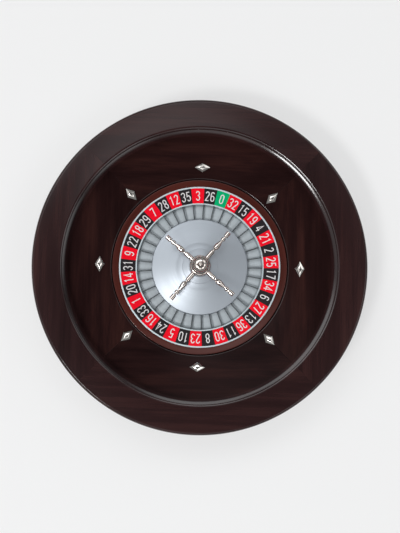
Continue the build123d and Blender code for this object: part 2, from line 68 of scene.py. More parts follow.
cone_radius = 73.9
pocket_length = 22.3
inner_lip_width = 2.0
band_width = 22.8
outer_lip_width = 2.4
wood_ring_width = 10.1
rotor_gap = 1.1
apron_width = 65.1
track_wall_offset = 10.0
lip_overhang = 3.5
rim_width = 45.0

seat_fit = 0.1
lip_rounding = 0.7
lip_slope_width = 2.1
lip_slope_drop = 1.3
lip_slope_rounding = 6.0
lip_edge_break = 0.6
track_roof_rounding = 1.5
track_rounding = 3.5
track_floor_width = 5.4
track_floor_slope = 25.5
track_floor_rounding = 20.0
rim_edge_rounding = 5.0
rim_crown_width = 34.0
rim_crown_drop = 1.0
rim_crown_rounding = 420.0
rim_band_height = 34.0
rim_band_step = 4.0
rim_band_rounding = 3.0
cove_rise = 8.0
cove_rounding = 12.0
foot_ring_inset = 22.0
edge_break = 1.5
apron_edge_rounding = 1.8
apron_edge_thickness = 11.9
board_overlap = 14.0
ledge_width = 10.0
seam_width = 0.35               # half of the V groove where two quadrants of the apron meet
rim_seam_width = seam_width / 4  # the rim's grooves are finer

deflector_count = 8
deflector_share = 0.273         # place of the deflectors across the apron
deflector_length = 24.0
deflector_width = 14.4
deflector_edge = 1.2
deflector_height = 3.4
deflector_bevel = 3.2
deflector_peak = 0.6
deflector_peak_share = 0.12     # the flat spot on the peak, as a share of the outline
deflector_rounding = 0.22
deflector_crease = 0.3          # radians between two faces, above which their edge is rounded

number_order = [0, 32, 15, 19, 4, 21, 2, 25, 17, 34, 6, 27, 13, 36, 11, 30, 8, 23, 10,
                5, 24, 16, 33, 1, 20, 14, 31, 9, 22, 18, 29, 7, 28, 12, 35, 3, 26]
zero_bearing = 16.5
field_thickness = 0.8
field_fit = 0.05
lip_rise = 0.5
lip_crest_rounding = 0.4
ring_wall = 2.0
ring_edge_rounding = 1.0
fret_thickness = 1.5
fret_height = 6.4
fret_fall = 0.8
fret_rounding = 0.5
fret_fit = 0.05

cone_edge_drop = 0.7
cone_wall = 1.2
cone_edge_rounding = 2.0
flare_radius = 36.5
flare_rise = 0.64
flare_rounding = 25.0
crown_radius = 23.0
cone_fit = 0.2

turret_base_overhang = 3.7
turret_base_height = 3.2
turret_base_edge = 1.0
turret_base_lift = 0.3
turret_base_collar = 1.5
turret_hub_radius = 15.6
turret_hub_height = 14.0
turret_hub_foot = 2.0
turret_hub_rounding = 3.0
metal_rounding = 0.5
stud_radius = 3.05
arm_count = 4
arm_bearing = 23.2
arm_seat_depth = 0.6
arm_radius = 3.5
arm_bulge_radius = 4.2
arm_waist_radius = 1.7
arm_rounding = 0.6
arm_lengths = dict(stem=13.6, notch=2.6, swell=3.4, bulge=5.6, taper=8.2, neck=1.6, bead=4.8,
                   gap=2.4, knob=8.8)
finial_foot_radius = 9.0
finial_foot_height = 2.2
finial_neck_radius = 6.0
finial_neck_height = 10.7
finial_neck_rounding = 2.5
finial_radius = 13.7
finial_bead_height = 2.4
finial_dome_step = 1.4
finial_dome_height = 9.9
finial_dome_rounding = 9.4
button_neck_radius = 1.8
button_neck_height = 0.9
button_radius = 3.5
button_height = 6.4
button_rounding = 3.0

# ---------------------------------------------------------------- heights and radii that follow
board_bottom = foot_height
board_top = board_bottom + board_thickness
disc_bottom = board_top + underside_gap
disc_top = disc_bottom + disc_thickness
pocket_floor_top = disc_top + pocket_floor_thickness
band_inner_height = pocket_floor_top + pocket_depth
cone_edge_height = band_inner_height - cone_edge_drop

pocket_inner_radius = cone_radius + cone_fit
ring_inner_radius = pocket_inner_radius + pocket_length
band_inner_radius = ring_inner_radius + inner_lip_width
band_outer_radius = band_inner_radius + band_width
ring_outer_radius = band_outer_radius + outer_lip_width
wood_inner_radius = ring_outer_radius + seat_fit
rotor_radius = wood_inner_radius + wood_ring_width
apron_inner_radius = rotor_radius + rotor_gap
apron_outer_radius = apron_inner_radius + apron_width
track_radius = apron_outer_radius + track_wall_offset
lip_radius = track_radius - lip_overhang
bowl_radius = lip_radius + rim_width
deflector_radius = apron_inner_radius + apron_width * deflector_share
foot_ring_radius = bowl_radius - foot_ring_inset
board_radius = apron_outer_radius + board_overlap
ledge_radius = apron_outer_radius - ledge_width
turret_base_radius = crown_radius + turret_base_overhang
field_arc = 360.0 / len(number_order)


def band_height(radius):
    """Height of the wheel head's sloping top, from the number band to the wood ring."""
    return band_inner_height + (radius - band_inner_radius) * math.tan(math.radians(band_slope))


apron_inner_height = band_height(rotor_radius) + rotor_step


def apron_height(radius):
    """Height of the bowl's sloping apron."""
    return apron_inner_height + (radius - apron_inner_radius) * math.tan(math.radians(apron_slope))


apron_bottom = apron_inner_height - apron_edge_thickness
track_roof = apron_height(track_radius) + track_wall
track_floor_radius = track_radius - track_floor_width
track_wall_foot = (apron_height(track_floor_radius)
                   + track_floor_width * math.tan(math.radians(track_floor_slope)))
rim_top = track_roof + track_roof_rise + lip_height
rim_band_bottom = rim_top - rim_band_height
crown_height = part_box("wheel_cone")[1][2] / MM
flare_height = cone_edge_height + (crown_height - cone_edge_height) * flare_rise
hub_bottom = crown_height + turret_base_height
hub_top = hub_bottom + turret_hub_height
arm_height = hub_bottom + turret_hub_height / 2
finial_neck_top = hub_top + finial_foot_height + finial_neck_height
finial_bead_top = finial_neck_top + finial_bead_height
finial_dome_top = finial_bead_top + finial_dome_height
finial_top = finial_dome_top + button_neck_height + button_height

# ---------------------------------------------------------------- the picture
picture_width = 400
camera_distance = 1300.0        # from the aim
camera_tilt = 4.0               # degrees away from looking straight down
camera_bearing = 194.5          # side to which the camera stands off the spin axis
camera_turn = -1.5              # bearing that points straight up in the picture
camera_aim = (0.3, 0.4, 41.0)
camera_scale = 0.671            # picture units to a millimetre, at the rim's height


def bearing_vector(bearing, length=1.0):
    """Level vector along a bearing."""
    angle = math.radians(bearing)
    return Vector((math.sin(angle), math.cos(angle), 0)) * length


def make_camera():
    data = bpy.data.cameras.new("camera")
    camera = bpy.data.objects.new("camera", data)
    bpy.context.collection.objects.link(camera)
    tilt = math.radians(camera_tilt)
    aim = Vector(camera_aim)
    away = bearing_vector(camera_bearing, math.sin(tilt)) + Vector((0, 0, math.cos(tilt)))
    place = aim + away * camera_distance
    right = bearing_vector(camera_turn).cross(away).normalized()
    up = away.cross(right)
    turn = Matrix((right, up, away)).transposed()
    camera.matrix_world = Matrix.Translation(place * MM) @ turn.to_4x4()
    data.sensor_fit = "HORIZONTAL"
    rim_distance = camera_distance - (rim_top - aim.z) * math.cos(tilt)
    data.lens = data.sensor_width * camera_scale * rim_distance / picture_width
    data.clip_start = 0.01
    data.clip_end = 50
    bpy.context.scene.camera = camera


# ---------------------------------------------------------------- mesh helpers
ARC_STEP = 7.0                  # degrees between the points of a rounded corner
LATHE_STEPS = 384               # round a whole turn


def rounded(corners):
    """Closed outline of (x, y) points, with each corner (x, y, rounding) as an arc."""
    points = []
    for k, corner in enumerate(corners):
        here = Vector(corner[:2])
        rounding = corner[2] if len(corner) > 2 else 0.0
        if rounding <= 0:
            points.append(here)
            continue
        back = (Vector(corners[k - 1][:2]) - here).normalized()
        ahead = (Vector(corners[(k + 1) % len(corners)][:2]) - here).normalized()
        half = back.angle(ahead) / 2
        centre = here + (back + ahead).normalized() * (rounding / math.sin(half))
        first = here + back * (rounding / math.tan(half)) - centre
        last = here + ahead * (rounding / math.tan(half)) - centre
        begin = math.atan2(first.y, first.x)
        sweep = math.remainder(math.atan2(last.y, last.x) - begin, 2 * math.pi)
        steps = max(2, math.ceil(abs(math.degrees(sweep)) / ARC_STEP))
        for step in range(steps + 1):
            angle = begin + sweep * step / steps
            points.append(centre + Vector((math.cos(angle), math.sin(angle))) * rounding)
    return points


def finished(name, bm, sharp=35.0, place=Matrix.Identity(4)):
    """Object from a bmesh in millimetres, cleaned, with its faces turned outwards and shaded smooth."""
    bmesh.ops.remove_doubles(bm, verts=bm.verts, dist=0.0005)
    loose = [edge for edge in bm.edges if not edge.link_faces]
    bmesh.ops.delete(bm, geom=loose, context="EDGES")
    bmesh.ops.recalc_face_normals(bm, faces=bm.faces)
    bmesh.ops.transform(bm, matrix=place, verts=bm.verts)
    bmesh.ops.transform(bm, matrix=Matrix.Scale(MM, 4), verts=bm.verts)
    mesh = bpy.data.meshes.new(name)
    bm.to_mesh(mesh)
    bm.free()
    mesh.shade_smooth()
    mesh.set_sharp_from_angle(angle=math.radians(sharp))
    piece = bpy.data.objects.new(name, mesh)
    bpy.context.collection.objects.link(piece)
    return piece


def shrunk(points, amount):
    """The outline drawn in by an amount along its own normals."""
    area = sum(a.x * b.y - b.x * a.y for a, b in zip(points, points[1:] + points[:1]))
    side = 1.0 if area > 0 else -1.0
    inner = []
    for k, point in enumerate(points):
        along = (points[(k + 1) % len(points)] - points[k - 1]).normalized()
        inner.append(point + Vector((-along.y, along.x)) * side * amount)
    return inner


def add_lathe(bm, points, start=0.0, arc=360.0, steps=LATHE_STEPS, seam=0.0):
    """Turn a closed outline of (radius, height) about Z. A seam bevels both ends of a part turn."""
    whole = arc >= 360.0
    count = max(3, round(steps * arc / 360.0))
    stations = [(start + arc * k / count, points) for k in range(count + (0 if whole else 1))]
    if seam and not whole:
        inset = math.degrees(seam / max(point.x for point in points))
        small = shrunk(points, seam)
        stations[0] = (start + inset, points)
        stations[-1] = (start + arc - inset, points)
        stations = [(start, small)] + stations + [(start + arc, small)]
    rings = []
    for angle, outline in stations:
        c, s = math.cos(math.radians(angle)), math.sin(math.radians(angle))
        rings.append([bm.verts.new((p.x * c, p.x * s, p.y)) for p in outline])
    pairs = zip(rings, rings[1:] + rings[:1]) if whole else zip(rings, rings[1:])
    size = len(points)
    for one, two in pairs:
        for k in range(size):
            bm.faces.new((one[k - 1], one[k], two[k], two[k - 1]))
    if not whole:
        bm.faces.new(rings[0])
        bm.faces.new(rings[-1])


def lathe(name, corners, place=Matrix.Identity(4), **turn):
    bm = bmesh.new()
    add_lathe(bm, rounded(corners), **turn)
    return finished(name, bm, place=place)


def add_prism(bm, lower, upper):
    """Closed solid between two rings of points."""
    low = [bm.verts.new(p) for p in lower]
    high = [bm.verts.new(p) for p in upper]
    for k in range(len(low)):
        bm.faces.new((low[k - 1], low[k], high[k], high[k - 1]))
    bm.faces.new(low)
    bm.faces.new(high)


GRAIN = "grain"
grain_shift = 0.7               # metres from one quadrant's figure to the next one's


def lay_grain(piece, along):
    """Store where each point lies in the wood or the brushed metal: along the grain, then across it."""
    mesh = piece.data
    layer = mesh.attributes.new(GRAIN, "FLOAT_VECTOR", "CORNER")
    values = []
    for loop in mesh.loops:
        values.extend(along(mesh.vertices[loop.vertex_index].co))
    layer.data.foreach_set("vector", values)


def straight(bearing, shift):
    """Grain that runs along a bearing. The shift gives each quadrant a figure of its own."""
    ahead = bearing_vector(bearing)
    aside = bearing_vector(bearing + 90)
    return lambda p: (p.dot(ahead) + shift, p.dot(aside) + shift, p.z)


def circling(unrolled=0.1):
    """Grain that runs round the axis, unrolled at a radius in metres."""
    return lambda p: (math.atan2(p.y, p.x) * unrolled, math.hypot(p.x, p.y), p.z)


# ---------------------------------------------------------------- materials
class Nodes:
    """Node tree of one material, with short calls."""

    def __init__(self, name):
        self.material = bpy.data.materials.new(name)
        self.material.use_nodes = True
        self.tree = self.material.node_tree
        self.shader = self.tree.nodes["Principled BSDF"]

    def add(self, kind, **settings):
        node = self.tree.nodes.new(kind)
        for key, value in settings.items():
            if key in node.inputs:
                node.inputs[key].default_value = value
            else:
                setattr(node, key, value)
        return node

    def link(self, output, socket):
        self.tree.links.new(output, socket)

    def set(self, **settings):
        for key, value in settings.items():
            self.shader.inputs[key.replace("_", " ")].default_value = value

    def scaled(self, coordinates, scale):
        mapping = self.add("ShaderNodeMapping", Scale=scale)
        self.link(coordinates, mapping.inputs["Vector"])
        return mapping.outputs["Vector"]

    def grain(self, scale):
        """Grain coordinates, stretched."""
        source = self.add("ShaderNodeAttribute", attribute_name=GRAIN)
        return self.scaled(source.outputs["Vector"], scale)

    def local(self, scale):
        """The piece's own coordinates, scaled."""
        return self.scaled(self.add("ShaderNodeTexCoord").outputs["Object"], scale)

    def steepness(self):
        """Upward part of the surface's direction: 1 on a level face, 0 on an upright one."""
        source = self.add("ShaderNodeNewGeometry")
        parts = self.add("ShaderNodeSeparateXYZ")
        self.link(source.outputs["Normal"], parts.inputs["Vector"])
        return parts.outputs["Z"]

    def reach(self):
        """Distance from the spin axis, in metres."""
        source = self.add("ShaderNodeTexCoord")
        flat = self.add("ShaderNodeVectorMath", operation="MULTIPLY")
        flat.inputs[1].default_value = (1.0, 1.0, 0.0)
        self.link(source.outputs["Object"], flat.inputs[0])
        length = self.add("ShaderNodeVectorMath", operation="LENGTH")
        self.link(flat.outputs["Vector"], length.inputs[0])
        return length.outputs["Value"]

    def noise(self, vector, detail, roughness=0.6, distortion=0.0):
        node = self.add("ShaderNodeTexNoise", Scale=1.0, Detail=detail, Roughness=roughness,
                        Distortion=distortion)
        self.link(vector, node.inputs["Vector"])
        return node.outputs["Fac"]

    def ramp(self, fac, *stops):
        """Colour ramp from (position, colour) stops."""
        node = self.add("ShaderNodeValToRGB")
        elements = node.color_ramp.elements
        while len(elements) < len(stops):
            elements.new(0.5)
        for element, (position, colour) in zip(elements, stops):
            element.position = position
            element.color = (*colour, 1.0)
        self.link(fac, node.inputs["Fac"])
        return node.outputs["Color"]

    def spread(self, fac, low, high, start=0.0, end=1.0):
        """Map a value from start..end to low..high."""
        node = self.add("ShaderNodeMapRange")
        node.inputs["From Min"].default_value = start
        node.inputs["From Max"].default_value = end
        node.inputs["To Min"].default_value = low
        node.inputs["To Max"].default_value = high
        self.link(fac, node.inputs["Value"])
        return node.outputs["Result"]

    def mix(self, fac, one, two):
        """Blend of two colours or outputs: all of one at 0, all of two at 1."""
        node = self.add("ShaderNodeMix", data_type="RGBA")
        for value, socket in ((fac, node.inputs[0]), (one, node.inputs[6]), (two, node.inputs[7])):
            if isinstance(value, bpy.types.NodeSocket):
                self.link(value, socket)
            else:
                socket.default_value = value if isinstance(value, float) else (*value, 1.0)
        return node.outputs[2]

    def colour(self, output):
        self.link(output, self.shader.inputs["Base Color"])

    def roughness(self, output):
        self.link(output, self.shader.inputs["Roughness"])

    def bump(self, height, strength, distance):
        node = self.add("ShaderNodeBump", Strength=strength, Distance=distance)
        self.link(height, node.inputs["Height"])
        self.link(node.outputs["Normal"], self.shader.inputs["Normal"])


# Lacquer is dull on long slopes. These are the upward parts of a face's direction where the dulling
# has ended on the steep side, is full, is still full, and has ended on the level side.
dulled_slopes = (0.955, 0.968, 0.986, 0.994)


def lacquered_wood(name, dark, middle, light, gloss, figure=1.0):
    """Stained wood under lacquer: broad figure, soft streaks along the grain and fine pores.

    A gloss below 1 dulls the long slopes of the bowl. Level faces and edges keep their shine.
    """
    m = Nodes(name)
    broad = m.noise(m.grain((3.2, 17.0, 17.0)), detail=2.0, distortion=0.8 * figure)
    bands = m.noise(m.grain((5.0, 75.0, 75.0)), detail=3.0, roughness=0.5, distortion=0.3 * figure)
    streaks = m.noise(m.grain((12.0, 420.0, 420.0)), detail=4.0, roughness=0.6)
    pores = m.noise(m.grain((90.0, 2600.0, 2600.0)), detail=2.0)
    both = m.mix(0.20, m.mix(0.45, broad, bands), streaks)
    stain = m.ramp(both, (0.33, dark), (0.50, middle), (0.68, light))
    pitted = m.mix(m.spread(pores, 0.0, 1.0, 0.56, 0.70), stain, tuple(c * 0.45 for c in dark))
    m.colour(m.mix(0.15, stain, pitted))
    m.roughness(m.spread(streaks, 0.42, 0.60))
    m.bump(m.mix(0.5, streaks, pores), 0.008, 0.0002)
    full, dull = (1.0, 1.0, 1.0), (gloss, gloss, gloss)
    shine = m.ramp(m.steepness(), *zip(dulled_slopes, (full, dull, dull, full)))
    m.link(shine, m.shader.inputs["Coat Weight"])
    m.set(Specular_IOR_Level=0.0, Coat_Roughness=0.15, Coat_IOR=1.52)
    return m.material


painted_shade_cover = 0.6                # the most that the painted shade at the pockets' outer ends hides of the clean colour
painted_shade_level = 0.25               # brightness of the painted shade, against the clean metal


def turned_metal(name, base, rough, lines, shade=0.06, metallic=1.0, painted_shade_band=None):
    """Metal turned on a lathe: fine rings, slightly uneven in colour and polish.

    Shade is painted in, darker outwards, between the two distances from the axis that are given, if any.
    """
    m = Nodes(name)
    rings = m.noise(m.grain((2.0, 2500.0, 2500.0)), detail=3.0)
    cloud = m.noise(m.local((14.0, 14.0, 14.0)), detail=3.0)
    darker = tuple(c * (1 - shade) for c in base)
    lighter = tuple(min(1.0, c * (1 + shade)) for c in base)
    colour = m.ramp(m.mix(0.5, rings, cloud), (0.3, darker), (0.7, lighter))
    # Painted shade: the colour darkens towards the outer distance, standing for the shade in a recess.
    if painted_shade_band:
        start, end = (distance * MM for distance in painted_shade_band)
        painted_shade_mask = m.spread(m.reach(), 0.0, painted_shade_cover, start, end)
        colour = m.mix(painted_shade_mask, colour, tuple(c * painted_shade_level for c in base))
    m.colour(colour)
    m.roughness(m.spread(rings, rough * 0.85, rough * 1.15, 0.3, 0.7))
    m.bump(rings, lines, 0.00004)
    m.set(Metallic=metallic)
    return m.material


def plated_metal(name, base, rough):
    """Bright plating with faint wipe marks."""
    m = Nodes(name)
    cloud = m.noise(m.local((60.0, 60.0, 60.0)), detail=4.0)
    darker = tuple(c * 0.93 for c in base)
    m.colour(m.ramp(cloud, (0.35, darker), (0.65, base)))
    m.roughness(m.spread(cloud, rough * 0.7, rough * 1.3, 0.3, 0.7))
    m.bump(cloud, 0.05, 0.0002)
    m.set(Metallic=1.0)
    return m.material


def enamel(name, base):
    """Printed enamel with slight mottling."""
    m = Nodes(name)
    rough = 0.35
    mottle = m.noise(m.local((160.0, 160.0, 160.0)), detail=4.0)
    m.colour(m.ramp(mottle, (0.3, tuple(c * 0.9 for c in base)), (0.7, base)))
    m.roughness(m.spread(mottle, rough * 0.85, rough * 1.15, 0.3, 0.7))
    m.bump(mottle, 0.06, 0.0002)
    m.set(Specular_IOR_Level=0.10)
    return m.material


def rubber(name):
    m = Nodes(name)
    speckle = m.noise(m.local((900.0, 900.0, 900.0)), detail=3.0)
    m.colour(m.ramp(speckle, (0.3, (0.016, 0.016, 0.017)), (0.7, (0.035, 0.035, 0.036))))
    m.bump(speckle, 0.3, 0.0002)
    m.set(Roughness=0.75, Specular_IOR_Level=0.3)
    return m.material


def stained_board(name):
    """Plain board stained dark, with no gloss."""
    m = Nodes(name)
    fibres = m.noise(m.local((30.0, 500.0, 30.0)), detail=5.0)
    m.colour(m.ramp(fibres, (0.3, (0.020, 0.010, 0.008)), (0.7, (0.052, 0.027, 0.020))))
    m.bump(fibres, 0.2, 0.0003)
    m.set(Roughness=0.62, Specular_IOR_Level=0.3)
    return m.material


def make_materials():
    """One material for each of the record's slots, a darker one for frets that paints in the shade beside
    them, and the white print.
    """
    # Shade is painted over the pockets' outer ends, next to the number ring's wall.
    painted_shade_start, painted_shade_end = ring_inner_radius - 3.0, ring_inner_radius - 1.0
    return {
        "rim_wood": lacquered_wood("rim_wood", (0.0110, 0.0040, 0.0042), (0.0228, 0.0086, 0.0088),
                                   (0.0440, 0.0168, 0.0155), gloss=0.25),
        "apron_wood": lacquered_wood("apron_wood", (0.0070, 0.0026, 0.0027), (0.0160, 0.0060, 0.0058),
                                     (0.0350, 0.0125, 0.0105), gloss=0.17),
        "wheel_wood": lacquered_wood("wheel_wood", (0.040, 0.0080, 0.0055), (0.062, 0.0130, 0.0092),
                                     (0.085, 0.0200, 0.0140), figure=0.4, gloss=0.4),
        "board_wood": stained_board("board_wood"),
        "foot_rubber": rubber("foot_rubber"),
        "screw_steel": plated_metal("screw_steel", (0.55, 0.55, 0.54), 0.35),
        "bearing_steel": plated_metal("bearing_steel", (0.68, 0.68, 0.69), 0.15),
        "spindle_steel": plated_metal("spindle_steel", (0.56, 0.56, 0.57), 0.28),
        "deflector_metal": plated_metal("deflector_metal", (0.80, 0.76, 0.71), 0.13),
        "ring_metal": turned_metal("ring_metal", (0.62, 0.69, 0.72), 0.50, lines=0.02),
        "red_field": enamel("red_field", (0.84, 0.004, 0.018)),
        "black_field": enamel("black_field", (0.020, 0.017, 0.019)),
        "green_field": enamel("green_field", (0.0, 0.39, 0.145)),
        "pocket_metal": turned_metal("pocket_metal", (0.43, 0.47, 0.495), 0.45, lines=0.3, shade=0.12,
                                     metallic=0.2, painted_shade_band=(painted_shade_start, painted_shade_end)),
        # Painted shade: the frets are darker than the pocket metal, to stand for the shade beside them.
        "fret_metal_painted_shade": plated_metal("fret_metal_painted_shade", (0.16, 0.175, 0.185), 0.38),
        "cone_metal": turned_metal("cone_metal", (0.43, 0.465, 0.505), 0.50, lines=0.03, shade=0.02),
        "turret_metal": plated_metal("turret_metal", (0.74, 0.67, 0.62), 0.10),
        "print_white": enamel("print_white", (0.72, 0.69, 0.69)),
    }


def dress(piece, materials, slot, body, *nodes, finish=None):
    """Give a piece its material, its slot, its body and the solids that it stands for."""
    piece.data.materials.append(materials[finish or slot])
    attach(piece, body)
    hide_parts(*nodes)


# ---------------------------------------------------------------- bowl
quadrants = {"right": 0.0, "back": 90.0, "left": 180.0, "front": 270.0}     # lathe angles of their middles


def rim_corners():
    return [
        (board_radius + seat_fit, board_bottom),
        (foot_ring_radius, board_bottom, edge_break),
        (foot_ring_radius, board_bottom + cove_rise, cove_rounding),
        (bowl_radius - rim_band_step, rim_band_bottom - rim_band_step / 2, rim_band_rounding),
        (bowl_radius, rim_band_bottom, edge_break),
        (bowl_radius, rim_top - rim_crown_drop, rim_edge_rounding),
        (bowl_radius - rim_crown_width, rim_top, rim_crown_rounding),
        (lip_radius + lip_slope_width, rim_top, lip_slope_rounding),
        (lip_radius, rim_top - lip_slope_drop, lip_rounding),
        (lip_radius, rim_top - lip_height, lip_edge_break),
        (track_radius, track_roof, track_roof_rounding),
        (track_radius, track_wall_foot, track_rounding),
        (track_floor_radius, apron_height(track_floor_radius), track_floor_rounding),
        (apron_outer_radius, apron_height(apron_outer_radius)),
        (apron_outer_radius, apron_bottom),
        (ledge_radius, apron_bottom),
        (ledge_radius, board_top),
        (board_radius + seat_fit, board_top),
    ]


def apron_corners():
    return [
        (apron_inner_radius, apron_bottom),
        (apron_outer_radius, apron_bottom),
        (apron_outer_radius, apron_height(apron_outer_radius)),
        (apron_inner_radius, apron_inner_height, apron_edge_rounding),
    ]


def make_bowl(materials):
    for number, (side, middle) in enumerate(quadrants.items()):
        along = 0.0 if side in ("right", "left") else 90.0
        for part, corners, seam in (("rim", rim_corners(), rim_seam_width),
                                    ("apron", apron_corners(), seam_width)):
            piece = lathe(part + "_" + side, corners, start=middle - 45.0, arc=90.0, seam=seam)
            lay_grain(piece, straight(along, grain_shift * (number + 1)))
            dress(piece, materials, part + "_wood", "bowl", part + "_segment_" + side)


def deflector_place(bearing, reach):
    """Spot on the apron where a flat piece that reaches this far sideways touches it."""
    slope = math.radians(apron_slope)
    sag = (math.hypot(deflector_radius, reach) - deflector_radius) * math.sin(slope)
    return (Matrix.Rotation(math.radians(90.0 - bearing), 4, "Z")
            @ Matrix.Translation((deflector_radius, 0, apron_height(deflector_radius)))
            @ Matrix.Rotation(-slope, 4, "Y")
            @ Matrix.Translation((0, 0, sag)))


def make_deflectors(materials):
    """Faceted diamonds: an upright edge, a steep border and a top that rises gently to a flat spot."""
    length, width = deflector_length / 2, deflector_width / 2
    inner = 1.0 - deflector_bevel * math.hypot(length, width) / (length * width)
    for k in range(deflector_count):
        lying = k % 2 == 0
        bm = bmesh.new()
        levels = []
        for share, height in ((1.0, 0.0), (1.0, deflector_edge), (inner, deflector_height),
                              (deflector_peak_share, deflector_height + deflector_peak)):
            levels.append([bm.verts.new((x * share, y * share, height)) for x, y in (
                (length, 0), (0, width), (-length, 0), (0, -width))])
        for one, two in zip(levels, levels[1:]):
            for i in range(4):
                bm.faces.new((one[i - 1], one[i], two[i], two[i - 1]))
        bm.faces.new(levels[0])
        bm.faces.new(levels[-1])
        bmesh.ops.recalc_face_normals(bm, faces=bm.faces)
        edges = [edge for edge in bm.edges if edge.calc_face_angle(0) > deflector_crease]
        bmesh.ops.bevel(bm, geom=edges, offset=deflector_rounding, segments=2, affect="EDGES",
                        profile=0.6)
        bearing = 360.0 * k / deflector_count
        place = deflector_place(bearing, length if lying else width)
        turn = Matrix.Rotation(math.radians(90.0 if lying else 0.0), 4, "Z")
        piece = finished(f"deflector_piece_{k + 1}", bm, sharp=25.0, place=place @ turn)
        dress(piece, materials, "deflector_metal", "bowl", f"deflector_{k + 1}")


# ---------------------------------------------------------------- wheel head
def make_rings(materials):
    wood = lathe("wheel_ring_wood", [
        (wood_inner_radius, disc_bottom),
        (rotor_radius, disc_bottom, ring_edge_rounding),
        (rotor_radius, band_height(rotor_radius), ring_edge_rounding),
        (wood_inner_radius, band_height(wood_inner_radius), ring_edge_rounding / 2),
    ])
    lay_grain(wood, circling(rotor_radius * MM))
    dress(wood, materials, "wheel_wood", "wheel_head", "wheel_wood_ring")

    floor_in = band_height(band_inner_radius) - field_thickness
    floor_out = band_height(band_outer_radius) - field_thickness
    lip_in = band_height(band_inner_radius) + lip_rise
    lip_out = band_height(band_outer_radius) + lip_rise
    ring = lathe("number_channel", [
        (ring_inner_radius, disc_top),
        (ring_inner_radius, lip_in, lip_crest_rounding),
        (band_inner_radius, lip_in, lip_crest_rounding),
        (band_inner_radius, floor_in),
        (band_outer_radius, floor_out),
        (band_outer_radius, lip_out, lip_crest_rounding),
        (ring_outer_radius, lip_out, lip_crest_rounding),
        (ring_outer_radius, disc_top),
        (band_outer_radius, disc_top),
        (band_outer_radius, floor_out - ring_wall),
        (band_inner_radius, floor_in - ring_wall),
        (band_inner_radius, disc_top),
    ])
    lay_grain(ring, circling())
    dress(ring, materials, "ring_metal", "wheel_head", "number_ring")

    floor = lathe("pocket_ring", [
        (pocket_inner_radius, disc_top),
        (ring_inner_radius - seat_fit, disc_top),
        (ring_inner_radius - seat_fit, pocket_floor_top),
        (pocket_inner_radius, pocket_floor_top),
    ])
    lay_grain(floor, circling())
    dress(floor, materials, "pocket_metal", "wheel_head", "pocket_floor")


def make_fields(materials):
    """Coloured fields, each a separate block: red and black take turns, and the zero is green."""
    low, high = band_inner_radius + field_fit, band_outer_radius - field_fit
    corners = [
        (low, band_height(low) - field_thickness), (high, band_height(high) - field_thickness),
        (high, band_height(high)), (low, band_height(low)),
    ]
    colours = {"green": [0], "red": range(1, len(number_order), 2), "black": range(2, len(number_order), 2)}
    nodes = {"green": "zero_field", "red": "red_number_fields", "black": "black_number_fields"}
    for colour, places in colours.items():
        bm = bmesh.new()
        for k in places:
            start = 90.0 - zero_bearing - (k + 0.5) * field_arc
            add_lathe(bm, rounded(corners), start=start, arc=field_arc)
        piece = finished(colour + "_fields", bm)
        dress(piece, materials, colour + "_field", "wheel_head", nodes[colour])


def make_frets(materials):
    """Thin walls between the pockets, with rounded crests, lower at the cone."""
    low, high = pocket_inner_radius + fret_fit, ring_inner_radius - fret_fit
    bm = bmesh.new()
    half = fret_thickness / 2
    for k in range(len(number_order)):
        bearing = zero_bearing + (k + 0.5) * field_arc
        ahead, aside = bearing_vector(bearing), bearing_vector(bearing + 90)
        rings = []
        for radius, top in ((low, fret_height - fret_fall), (high, fret_height)):
            section = rounded([(-half, 0), (half, 0), (half, top, fret_rounding),
                               (-half, top, fret_rounding)])
            rings.append([
                ahead * radius + aside * p.x + Vector((0, 0, pocket_floor_top + p.y)) for p in section
            ])
        add_prism(bm, *rings)
    piece = finished("frets", bm)
    lay_grain(piece, circling())
    # The frets' darker finish paints in the shade beside them.
    dress(piece, materials, "pocket_metal", "wheel_head", "pocket_frets", finish="fret_metal_painted_shade")


def make_cone(materials):
    cap_top = crown_height - cone_wall
    cone = lathe("spun_cone", [
        (cone_radius - cone_wall, disc_top),
        (cone_radius, disc_top),
        (cone_radius, cone_edge_height, cone_edge_rounding),
        (flare_radius, flare_height, flare_rounding),
        (crown_radius, crown_height),
        (stud_radius, crown_height),
        (stud_radius, cap_top),
        (crown_radius - cone_wall / 2, cap_top),
        (flare_radius - cone_wall / 2, flare_height - cone_wall, flare_rounding),
        (cone_radius - cone_wall, cone_edge_height - cone_wall, cone_edge_rounding - cone_wall),
    ])
    lay_grain(cone, circling())
    dress(cone, materials, "cone_metal", "wheel_head", "wheel_cone")


# ---------------------------------------------------------------- numbers
digit_height = 13.3             # between the middles of a digit's top and bottom strokes
digit_half = 0.180              # half of its width, as a share of its height
digit_pitch = 8.0
stroke_width = 1.5
print_lift = 0.03
print_step = 0.006              # each further stroke of a digit lies a little higher
print_thickness = 0.05
CURVE_STEP = 15.0
MITRE_LIMIT = 0.45              # keeps a stroke's sharp corners from running out into spikes


def bend(cx, cy, rx, ry, begin, end):
    """Points along part of an ellipse. Angles are in degrees, anticlockwise from the right."""
    steps = max(2, math.ceil(abs(end - begin) / CURVE_STEP))
    angles = [math.radians(begin + (end - begin) * k / steps) for k in range(steps + 1)]
    return [Vector((cx + rx * math.cos(a), cy + ry * math.sin(a))) for a in angles]


def straights(*points):
    return [Vector(p) for p in points]


